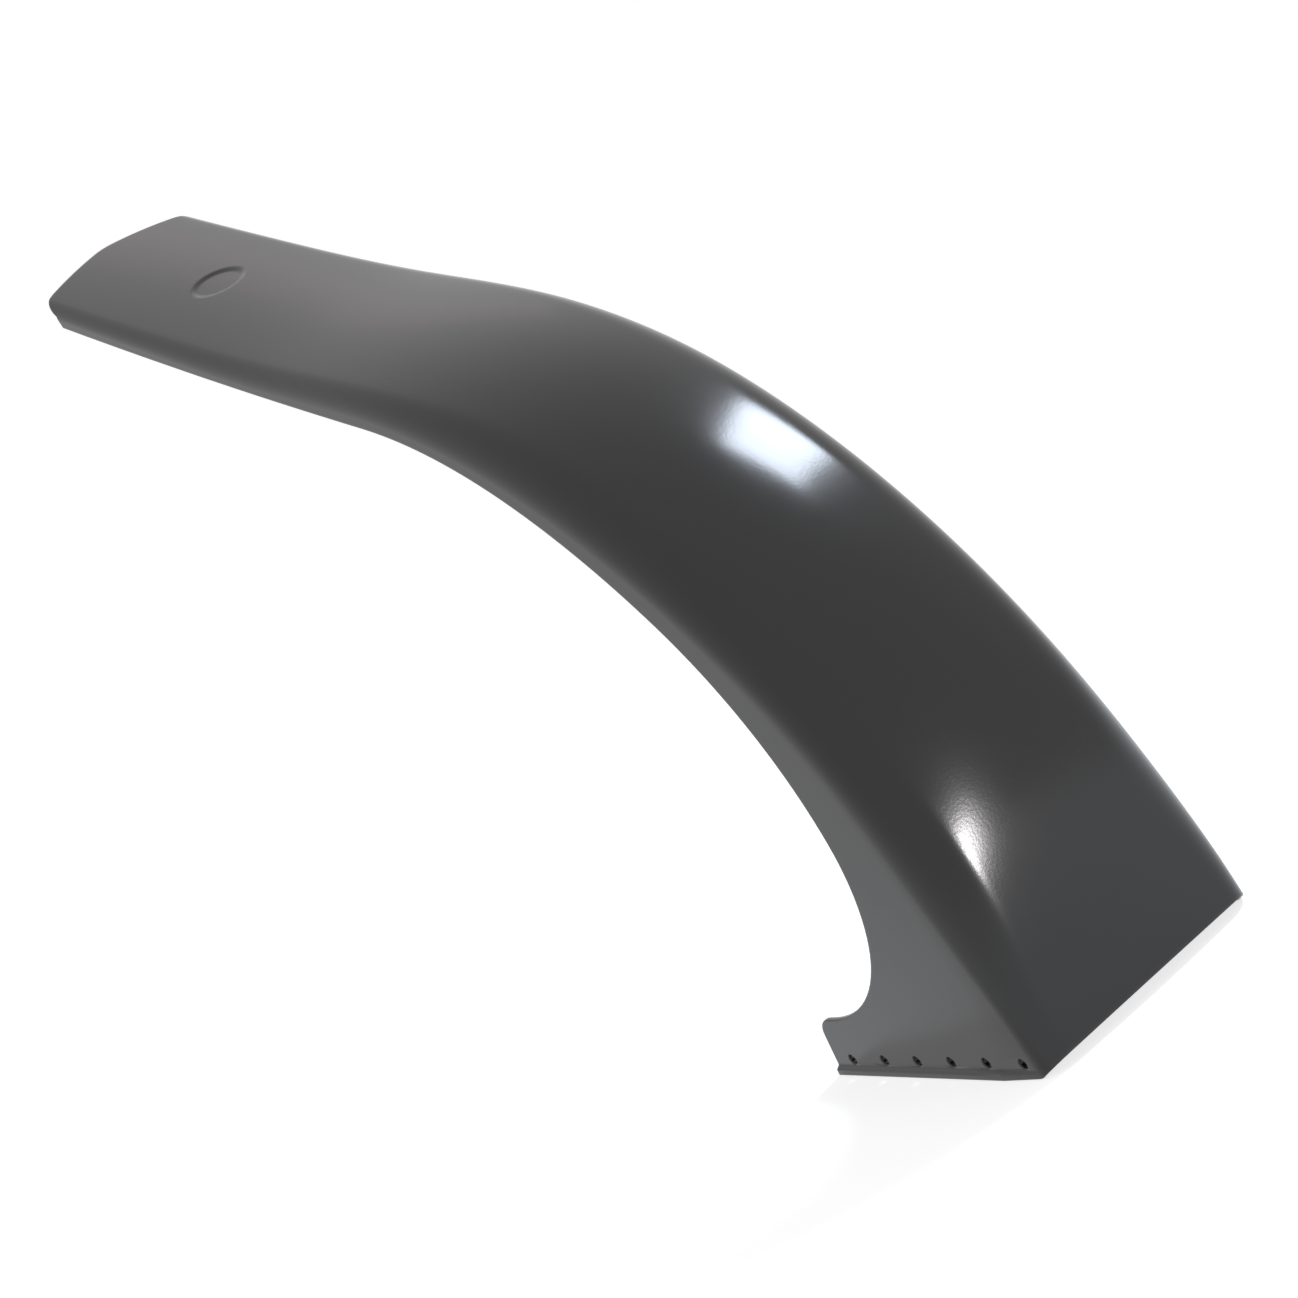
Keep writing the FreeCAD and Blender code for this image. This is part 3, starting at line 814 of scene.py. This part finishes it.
class FormTree:
    """Geometry Nodes tree that forms the flat pattern into the hollow channel, outside, inside and rim."""

    def __init__(self) -> None:
        """Builds the tree with its named inputs."""
        self.tree = bpy.data.node_groups.new("form_channel", "GeometryNodeTree")
        self.inputs = named_sockets(self.tree, {
            "Pattern": Socket.GEOMETRY, "Wall": Socket.FLOAT, "Draft": Socket.FLOAT, "Tail": Socket.FLOAT,
            "Skin": Socket.MATERIAL, "Inside": Socket.MATERIAL}, {"Channel": Socket.GEOMETRY})
        desk = Desk(self.tree)
        entry = desk.add("NodeGroupInput").outputs
        outside, inside = self._walls(desk, entry)
        sheet = desk.add("GeometryNodeSetPosition", {"Geometry": entry["Pattern"], "Position": outside})
        extrude = desk.add("GeometryNodeExtrudeMesh", {"Mesh": sheet.outputs["Geometry"], "Offset Scale": 0.0,
                                                       "Individual": False}, mode="FACES")
        inner = desk.add("GeometryNodeSetPosition", {"Geometry": extrude.outputs["Mesh"],
                                                     "Selection": extrude.outputs["Top"], "Position": inside})
        marked = desk.add("GeometryNodeStoreNamedAttribute",
                          {"Geometry": inner.outputs["Geometry"], "Name": "inside",
                           "Value": extrude.outputs["Top"]}, data_type="FLOAT", domain="FACE")
        turned = desk.add("GeometryNodeFlipFaces", {"Mesh": marked.outputs["Geometry"]})
        join = desk.add("GeometryNodeJoinGeometry")
        self.tree.links.new(sheet.outputs["Geometry"], join.inputs[0])
        self.tree.links.new(turned.outputs["Mesh"], join.inputs[0])
        merged = desk.add("GeometryNodeMergeByDistance", {"Geometry": join.outputs[0], "Distance": WELD})
        dress_tree(desk, merged.outputs["Geometry"], entry, "Channel")

    @staticmethod
    def _walls(desk: Desk, entry: Any) -> tuple[bpy.types.NodeSocket, bpy.types.NodeSocket]:
        """Section rule as fields.

        Args:
            desk: the tree's desk.
            entry: the tree's inputs.

        Returns:
            Position of the outside and of the inside of the wall.
        """
        m = desk.math
        seat_x, lean, seat_z = desk.split(desk.attribute("seat", "FLOAT_VECTOR"))
        half, crown, shoulder = desk.split(desk.attribute("ring", "FLOAT_VECTOR"))
        place, bend, drop = desk.split(desk.attribute("place", "FLOAT_VECTOR"))
        swell = desk.attribute("swell", "FLOAT")
        draft = entry["Draft"]
        side = m("SIGN", place)
        phi = m("ARCSINE", m("DIVIDE", m("SUBTRACT", half, shoulder), m("SUBTRACT", crown, shoulder)))
        first = m("MULTIPLY", phi, m("ABSOLUTE", place))
        turn = m("MULTIPLY", m("SUBTRACT", m("SUBTRACT", math.pi / 2, draft), phi), bend)
        second = m("ADD", phi, turn)
        facing = m("ADD", first, turn)
        y = desk.total(m("MULTIPLY", crown, m("SINE", first)),
                       m("MULTIPLY", shoulder, m("SUBTRACT", m("SINE", second), m("SINE", phi))),
                       m("MULTIPLY", drop, m("SINE", draft)))
        h = desk.total(m("MULTIPLY", crown, m("SUBTRACT", m("COSINE", first), 1.0)),
                       m("MULTIPLY", shoulder, m("SUBTRACT", m("COSINE", second), m("COSINE", phi))),
                       m("MULTIPLY", drop, m("MULTIPLY", m("COSINE", draft), -1.0)))
        results = []
        for offset in (swell, m("MULTIPLY", entry["Wall"], -1.0)):
            out = m("MULTIPLY", side, m("ADD", y, m("MULTIPLY", offset, m("SINE", facing))))
            up = m("ADD", h, m("MULTIPLY", offset, m("COSINE", facing)))
            along = m("ADD", seat_x, m("MULTIPLY", up, m("SINE", lean)))
            rise = m("ADD", seat_z, m("MULTIPLY", up, m("COSINE", lean)))
            spot = desk.add("ShaderNodeCombineXYZ", {
                "X": m("ADD", m("MULTIPLY", along, METRE), entry["Tail"]),
                "Y": m("MULTIPLY", out, METRE), "Z": m("MULTIPLY", rise, METRE)})
            results.append(spot.outputs[0])
        return results[0], results[1]


class HoleTree:
    """Geometry Nodes tree that drills the two rows of screw holes, each with a small chamfer."""

    chamfer: float = 0.45
    cutter_length: float = 14.0
    round_steps: int = 28

    def __init__(self) -> None:
        """Builds the tree with its named inputs."""
        self.tree = bpy.data.node_groups.new("drill_holes", "GeometryNodeTree")
        self.inputs = named_sockets(self.tree, {
            "Channel": Socket.GEOMETRY, "Count": Socket.INT, "Radius": Socket.FLOAT,
            "Near Start": Socket.VECTOR, "Near Step": Socket.VECTOR, "Far Start": Socket.VECTOR,
            "Far Step": Socket.VECTOR, "Skin": Socket.MATERIAL, "Inside": Socket.MATERIAL},
            {"Drilled": Socket.GEOMETRY})
        desk = Desk(self.tree)
        entry = desk.add("NodeGroupInput").outputs
        cut = desk.add("GeometryNodeMeshBoolean", {"Mesh 1": entry["Channel"]}, operation="DIFFERENCE",
                       solver="EXACT")
        for cutter in self._cutters(desk, entry["Radius"]):
            for name, quarter in (("Near", math.pi / 2), ("Far", -math.pi / 2)):
                line = desk.add("GeometryNodeMeshLine", {"Count": entry["Count"],
                                                         "Start Location": entry[name + " Start"],
                                                         "Offset": entry[name + " Step"]}, mode="OFFSET")
                row = desk.add("GeometryNodeInstanceOnPoints", {
                    "Points": line.outputs["Mesh"], "Instance": cutter, "Rotation": (quarter, 0.0, 0.0)})
                real = desk.add("GeometryNodeRealizeInstances", {"Geometry": row.outputs["Instances"]})
                self.tree.links.new(real.outputs["Geometry"], cut.inputs["Mesh 2"])
        dress_tree(desk, cut.outputs["Mesh"], entry, "Drilled")

    def _cutters(self, desk: Desk, radius: bpy.types.NodeSocket) -> list[bpy.types.NodeSocket]:
        """Drill and countersink, both along Z with the skin's surface at zero.

        Args:
            desk: the tree's desk.
            radius: the hole's radius.

        Returns:
            The geometry of both cutters.
        """
        drill = desk.add("GeometryNodeMeshCylinder", {"Vertices": self.round_steps, "Radius": radius,
                                                      "Depth": self.cutter_length * METRE})
        flare = self.chamfer * METRE
        cone = desk.add("GeometryNodeMeshCone", {"Vertices": self.round_steps, "Radius Bottom": radius,
                                                 "Radius Top": desk.math("ADD", radius, 2 * flare),
                                                 "Depth": 2 * flare})
        sunk = desk.add("GeometryNodeTransform", {"Geometry": cone.outputs["Mesh"],
                                                  "Translation": (0.0, 0.0, -flare)})
        return [drill.outputs["Mesh"], sunk.outputs["Geometry"]]


def shader_group(name: str, inputs: dict[str, Socket],
                 outputs: Sequence[str]) -> tuple[Desk, Any, bpy.types.Node]:
    """Empty shader node group with named sockets.

    Args:
        name: the group's name.
        inputs: kind of each input by name.
        outputs: names of the float outputs.

    Returns:
        The group's desk, its inputs and its output node.
    """
    tree = bpy.data.node_groups.new(name, "ShaderNodeTree")
    named_sockets(tree, inputs, {key: Socket.FLOAT for key in outputs})
    desk = Desk(tree)
    return desk, desk.add("NodeGroupInput").outputs, desk.add("NodeGroupOutput")


class PlasticEffects:
    """Shader groups that both finishes of the moulding share."""

    wave_scale: float = 26.0
    cloud_scale: float = 9.0
    rub_scale: float = 70.0
    hair_turn: tuple[float, float, float] = (0.2, 0.9, 0.35)
    hair_scale: tuple[float, float, float] = (16.0, 1500.0, 90.0)
    hair_band: Point = (0.68, 0.76)
    zone_scale: float = 14.0
    zone_band: Point = (0.5, 0.66)

    def __init__(self) -> None:
        """Builds the groups once."""
        self.grain = self._grain()
        self.wear = self._wear()

    def _grain(self) -> bpy.types.NodeTree:
        """Moulded skin: fine peel, slow waves and the tone that they give the gloss.

        Returns:
            The group's tree.
        """
        desk, entry, leave = shader_group("moulded_grain", {
            "Vector": Socket.VECTOR, "Peel Scale": Socket.FLOAT, "Peel Share": Socket.FLOAT}, ("Height", "Tone"))
        spot, share = entry["Vector"], entry["Peel Share"]
        fine = desk.math("MULTIPLY", desk.noise(spot, entry["Peel Scale"], detail=2.0), share)
        wave = desk.noise(spot, self.wave_scale, detail=3.0)
        slow = desk.math("MULTIPLY", wave, desk.math("SUBTRACT", 1.0, share))
        desk.feed(leave.inputs["Height"], desk.math("ADD", fine, slow))
        desk.feed(leave.inputs["Tone"], desk.noise(spot, self.cloud_scale, detail=5.0, roughness=0.6))
        return desk.tree

    def _wear(self) -> bpy.types.NodeTree:
        """Handling: rubbed rims and hair scratches along the part.

        Returns:
            The group's tree.
        """
        desk, entry, leave = shader_group("handling_wear", {
            "Vector": Socket.VECTOR, "Rim": Socket.FLOAT, "Rim Width": Socket.FLOAT, "Scratches": Socket.FLOAT},
            ("Rubbed", "Scratched"))
        spot = entry["Vector"]
        near = desk.remap(entry["Rim"], (0.0, entry["Rim Width"]), (1.0, 0.0), "SMOOTHSTEP")
        lie = desk.add("ShaderNodeMapping", {"Vector": spot, "Rotation": self.hair_turn, "Scale": self.hair_scale})
        line = desk.remap(desk.noise(lie.outputs["Vector"], 1.0, detail=2.0), self.hair_band)
        zone = desk.remap(desk.noise(spot, self.zone_scale, detail=2.0), self.zone_band)
        hit = desk.math("MULTIPLY", line, zone)
        rubbed = desk.math("MULTIPLY", near, desk.noise(spot, self.rub_scale, detail=4.0))
        desk.feed(leave.inputs["Rubbed"], rubbed)
        desk.feed(leave.inputs["Scratched"], desk.math("MULTIPLY", hit, entry["Scratches"]))
        return desk.tree


@dataclass(frozen=True)
class PlasticFinish:
    """One finish of the black plastic."""

    name: str
    colour: Colour
    rubbed: Colour
    gloss: tuple[float, float]
    peel_scale: float
    peel_share: float
    bump: float
    scratches: float
    bump_height: float = 0.0004
    rim_width: float = 2.4
    wear_haze: float = 0.18
    tone_band: Point = (0.3, 0.7)
    ior: float = 1.5

    def material(self, effects: PlasticEffects) -> bpy.types.Material:
        """Makes the material.

        Args:
            effects: the shared shader groups.

        Returns:
            A node material of moulded plastic.
        """
        material = bpy.data.materials.new(self.name)
        material.use_nodes = True
        material.diffuse_color = self.colour
        desk = Desk(material.node_tree)
        shader = material.node_tree.nodes["Principled BSDF"]
        spot = desk.add("ShaderNodeTexCoord").outputs["Object"]
        rim = desk.add("ShaderNodeAttribute", attribute_name="rim").outputs["Fac"]
        grain = desk.add("ShaderNodeGroup", {"Vector": spot, "Peel Scale": self.peel_scale,
                                             "Peel Share": self.peel_share}, node_tree=effects.grain)
        wear = desk.add("ShaderNodeGroup", {"Vector": spot, "Rim": rim, "Rim Width": self.rim_width,
                                            "Scratches": self.scratches}, node_tree=effects.wear)
        worn = desk.math("MAXIMUM", wear.outputs["Rubbed"], wear.outputs["Scratched"])
        colour = desk.add("ShaderNodeMix", data_type="RGBA")
        desk.feed(colour.inputs["Factor"], worn)
        desk.feed(colour.inputs[MIX_FIRST], self.colour)
        desk.feed(colour.inputs[MIX_SECOND], self.rubbed)
        desk.feed(shader.inputs["Base Color"], colour.outputs[MIX_RESULT])
        tone = desk.remap(grain.outputs["Tone"], self.tone_band, self.gloss)
        haze = desk.math("MULTIPLY", worn, self.wear_haze)
        desk.feed(shader.inputs["Roughness"], desk.math("ADD", tone, haze))
        bump = desk.add("ShaderNodeBump", {"Strength": self.bump, "Distance": self.bump_height,
                                           "Height": grain.outputs["Height"]})
        desk.feed(shader.inputs["Normal"], bump.outputs["Normal"])
        shader.inputs["IOR"].default_value = self.ior
        return material


SKIN = PlasticFinish("black_skin", (0.0045, 0.0043, 0.0045, 1.0), (0.03, 0.027, 0.027, 1.0), (0.145, 0.205),
                     850.0, 0.35, 0.11, 0.35)
INSIDE = PlasticFinish("black_inside", (0.010, 0.0096, 0.010, 1.0), (0.03, 0.028, 0.028, 1.0), (0.42, 0.52),
                       1500.0, 0.8, 0.12, 0.2)


@dataclass
class Mudguard:
    """The moulding: formed from its flat pattern, rims rounded, holes drilled, then dressed."""

    sizes: ChannelSizes = field(default_factory=ChannelSizes)
    rim_round: float = 0.6
    rim_steps: int = 3
    rim_angle: float = 50.0
    crease: float = 42.0
    tail: float = 0.0
    piece: Optional[bpy.types.Object] = None

    def build(self, effects: PlasticEffects) -> bpy.types.Object:
        """Makes the moulding's mesh and finish.

        Args:
            effects: the shared shader groups.

        Returns:
            The finished piece, at the origin with its place in its mesh.
        """
        skin = SKIN.material(effects)
        inside = INSIDE.material(effects)
        channel = Channel(self.sizes)
        low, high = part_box(NODE)
        bulge = max(channel.x.at(float(run)) for run in range(round(self.sizes.tail_rise)))
        self.tail = high[0] - bulge * METRE
        front = (low[0] - self.tail) / METRE + self.sizes.wall * math.sin(channel.lean.at(self.sizes.tip_run))
        flat = Pattern(channel, front).mesh(PIECE)
        piece = bpy.data.objects.new(PIECE, flat)
        bpy.context.scene.collection.objects.link(piece)
        self._form(piece, skin, inside)
        self._round(piece)
        self._drill(piece, skin, inside)
        self._bake(piece)
        self.piece = piece
        LOG.info("%s: %d faces", PIECE, len(piece.data.polygons))
        return piece

    @staticmethod
    def _modifier(piece: bpy.types.Object, tree: bpy.types.NodeTree, inputs: dict[str, Any],
                  values: dict[str, Any]) -> None:
        """Adds a Geometry Nodes modifier and sets its inputs by their identifiers.

        Args:
            piece: the piece.
            tree: the node tree.
            inputs: the tree's inputs by name.
            values: their values by name.
        """
        modifier = piece.modifiers.new(tree.name, "NODES")
        modifier.node_group = tree
        for key, value in values.items():
            modifier[inputs[key].identifier] = value

    def _form(self, piece: bpy.types.Object, skin: bpy.types.Material, inside: bpy.types.Material) -> None:
        """Forms the pattern into the hollow channel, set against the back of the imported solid.

        Args:
            piece: the piece.
            skin: the outside's material.
            inside: the inside's material.
        """
        tree = FormTree()
        self._modifier(piece, tree.tree, tree.inputs, {
            "Wall": self.sizes.wall, "Draft": math.radians(self.sizes.draft), "Tail": self.tail,
            "Skin": skin, "Inside": inside})

    def _round(self, piece: bpy.types.Object) -> None:
        """Rounds the rims.

        Args:
            piece: the piece.
        """
        bevel = piece.modifiers.new("rims", "BEVEL")
        bevel.width = self.rim_round * METRE
        bevel.segments = self.rim_steps
        bevel.limit_method = "ANGLE"
        bevel.angle_limit = math.radians(self.rim_angle)
        bevel.use_clamp_overlap = False

    def _drill(self, piece: bpy.types.Object, skin: bpy.types.Material, inside: bpy.types.Material) -> None:
        """Drills the hole rows along both feet, on the flare of the skirts.

        Args:
            piece: the piece.
            skin: the outside's material.
            inside: the inside's material.
        """
        s = self.sizes
        step = (s.foot_length - s.hole_inset - s.hole_front) / (s.hole_count - 1)
        flare = math.tan(math.radians(s.draft))
        out = s.widths[0] / 2 + (s.hole_inset - s.heel) * flare
        values: dict[str, Any] = {"Count": s.hole_count, "Radius": s.hole_radius * METRE, "Skin": skin,
                                  "Inside": inside}
        for name, side in (("Near", -1.0), ("Far", 1.0)):
            start = Vector((-s.hole_inset, side * out, s.hole_height)) * METRE
            values[name + " Start"] = (start.x + self.tail, start.y, start.z)
            values[name + " Step"] = (-step * METRE, side * step * flare * METRE, 0.0)
        tree = HoleTree()
        self._modifier(piece, tree.tree, tree.inputs, values)

    def _bake(self, piece: bpy.types.Object) -> None:
        """Turns the modifiers' result into a plain mesh with clean normals.

        Args:
            piece: the piece.
        """
        graph = bpy.context.evaluated_depsgraph_get()
        mesh = bpy.data.meshes.new_from_object(piece.evaluated_get(graph), preserve_all_data_layers=True,
                                               depsgraph=graph)
        piece.modifiers.clear()
        piece.data = mesh
        work = bmesh.new()
        work.from_mesh(mesh)
        bmesh.ops.remove_doubles(work, verts=work.verts, dist=WELD)
        bmesh.ops.recalc_face_normals(work, faces=work.faces)
        open_edges = sum(1 for edge in work.edges if not edge.is_manifold)
        LOG.info("%s: %d open edges", PIECE, open_edges)
        work.to_mesh(mesh)
        work.free()
        mesh.polygons.foreach_set("use_smooth", [True] * len(mesh.polygons))
        mesh.set_sharp_from_angle(angle=math.radians(self.crease))
        for name in ("seat", "ring", "place", "swell"):
            layer = mesh.attributes.get(name)
            if layer is not None:
                mesh.attributes.remove(layer)
        mesh.update()

    def dress(self) -> None:
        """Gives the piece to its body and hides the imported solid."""
        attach(self.piece, BODY)
        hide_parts(NODE)


@dataclass(frozen=True)
class Lamp:
    """Soft box: what it shines on, from which side, how far off and how large."""

    name: str
    aim: tuple[float, float, float]
    azimuth: float
    elevation: float
    distance: float
    size: Point
    radiance: float
    colour: tuple[float, float, float]
    turn: float = 0.0

    def place(self) -> bpy.types.Object:
        """Adds the soft box to the scene.

        Returns:
            The lamp object.
        """
        data = bpy.data.lights.new(self.name, "AREA")
        data.shape = "RECTANGLE"
        data.size, data.size_y = self.size
        data.color = self.colour
        data.energy = self.radiance * math.pi * self.size[0] * self.size[1]
        lamp = bpy.data.objects.new(self.name, data)
        bpy.context.scene.collection.objects.link(lamp)
        away = heading(self.azimuth, self.elevation)
        turn = away.to_track_quat("Z", "Y").to_matrix() @ Matrix.Rotation(math.radians(self.turn), 3, "Z")
        lamp.matrix_world = Matrix.Translation(Vector(self.aim) + away * self.distance) @ turn.to_4x4()
        lamp.visible_camera = False
        return lamp


@dataclass(frozen=True)
class Studio:
    """Pale floor, white surround and soft light."""

    floor_size: float = 30.0
    floor_tone: float = 0.7
    floor_glow: float = 0.715
    fill: float = 0.42
    lamps: tuple[Lamp, ...] = (
        Lamp("key_window", (0.178, 0.028, 0.242), 79.0, 45.0, 1.2, (0.46, 0.31), 24.0, (0.78, 0.87, 1.0),
             -39.0),
        Lamp("front_lamp", (0.247, -0.030, 0.093), 12.0, 0.0, 1.2, (0.10, 0.11), 95.0, (1.0, 0.97, 0.98)),
        Lamp("warm_card", (-0.20, 0.0, 0.44), 149.0, 37.5, 0.55, (0.60, 0.09), 0.17, (1.0, 0.61, 0.67)),
    )

    def build(self) -> None:
        """Adds floor, surround and lamps."""
        self._floor()
        self._surround()
        for lamp in self.lamps:
            lamp.place()

    def _floor(self) -> None:
        """Pale floor under the lips, white where no shadow falls."""
        half = self.floor_size / 2
        mesh = bpy.data.meshes.new("floor")
        corners = [(-half, -half, 0), (half, -half, 0), (half, half, 0), (-half, half, 0)]
        mesh.from_pydata(corners, [], [(0, 1, 2, 3)])
        floor = bpy.data.objects.new("floor", mesh)
        bpy.context.scene.collection.objects.link(floor)
        material = bpy.data.materials.new("pale_floor")
        material.use_nodes = True
        desk = Desk(material.node_tree)
        material.node_tree.nodes.remove(material.node_tree.nodes["Principled BSDF"])
        tone = self.floor_tone
        matt = desk.add("ShaderNodeBsdfDiffuse", {"Color": (tone, tone, tone, 1.0)})
        strength = desk.math("MULTIPLY", self._shown(desk), self.floor_glow)
        glow = desk.add("ShaderNodeEmission", {"Strength": strength})
        both = desk.add("ShaderNodeAddShader")
        desk.feed(both.inputs[0], matt.outputs[0])
        desk.feed(both.inputs[1], glow.outputs[0])
        desk.feed(material.node_tree.nodes["Material Output"].inputs["Surface"], both.outputs[0])
        mesh.materials.append(material)

    def _surround(self) -> None:
        """White for the camera and in gloss and glass, and an even fill on matt surfaces."""
        world = bpy.data.worlds.new("studio")
        bpy.context.scene.world = world
        world.use_nodes = True
        desk = Desk(world.node_tree)
        fill = desk.add("ShaderNodeBackground", {"Color": WHITE, "Strength": self.fill})
        white = desk.add("ShaderNodeBackground", {"Color": WHITE, "Strength": 1.0})
        seen = desk.add("ShaderNodeMixShader")
        for socket, value in zip(seen.inputs, (self._shown(desk), fill.outputs[0], white.outputs[0])):
            desk.feed(socket, value)
        desk.feed(world.node_tree.nodes["World Output"].inputs["Surface"], seen.outputs[0])

    @staticmethod
    def _shown(desk: Desk) -> bpy.types.NodeSocket:
        """One for the camera's rays and for those in gloss and glass, else zero.

        Args:
            desk: the tree's desk.

        Returns:
            The factor's socket.
        """
        path = desk.add("ShaderNodeLightPath").outputs
        seen = desk.math("MAXIMUM", path["Is Camera Ray"], path["Is Glossy Ray"])
        return desk.math("MAXIMUM", seen, path["Is Transmission Ray"])


@dataclass(frozen=True)
class View:
    """The photograph's camera: where it looks from, how it is rolled and how much it takes in."""

    azimuth: float = 65.09
    elevation: float = 10.243
    roll: float = 32.96
    target: tuple[float, float, float] = (0.041726, -0.0052, 0.1804)
    distance: float = 1.35
    focal_pixels: float = 3200.0
    image_pixels: float = 1298.0
    sensor: float = 36.0

    def axes(self) -> Matrix:
        """Camera axes in the part's frame.

        Returns:
            A rotation whose columns are the camera's right, up and back directions.
        """
        a, e, r = (math.radians(v) for v in (self.azimuth, self.elevation, self.roll))
        back = Vector((math.sin(a) * math.cos(e), -math.cos(a) * math.cos(e), math.sin(e)))
        level = Vector((math.cos(a), math.sin(a), 0.0))
        rise = back.cross(level)
        right = level * math.cos(r) - rise * math.sin(r)
        return Matrix((right, back.cross(right), back)).transposed()

    def place(self) -> bpy.types.Object:
        """Adds the camera to the scene.

        Returns:
            The camera object.
        """
        data = bpy.data.cameras.new("photo_view")
        data.sensor_width = self.sensor
        data.lens = self.sensor * self.focal_pixels / self.image_pixels
        camera = bpy.data.objects.new("photo_view", data)
        bpy.context.scene.collection.objects.link(camera)
        turn = self.axes()
        place = Vector(self.target) + turn.col[2] * self.distance
        camera.matrix_world = Matrix.Translation(place) @ turn.to_4x4()
        bpy.context.scene.camera = camera
        return camera


def main() -> None:
    """Builds the dressed mudguard, the studio and the camera around the frame."""
    logging.basicConfig(level=logging.INFO)
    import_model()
    View().place()
    Studio().build()
    guard = Mudguard()
    guard.build(PlasticEffects())
    guard.dress()
    bpy.context.scene.view_settings.view_transform = "Standard"


if __name__ == "__main__":
    main()
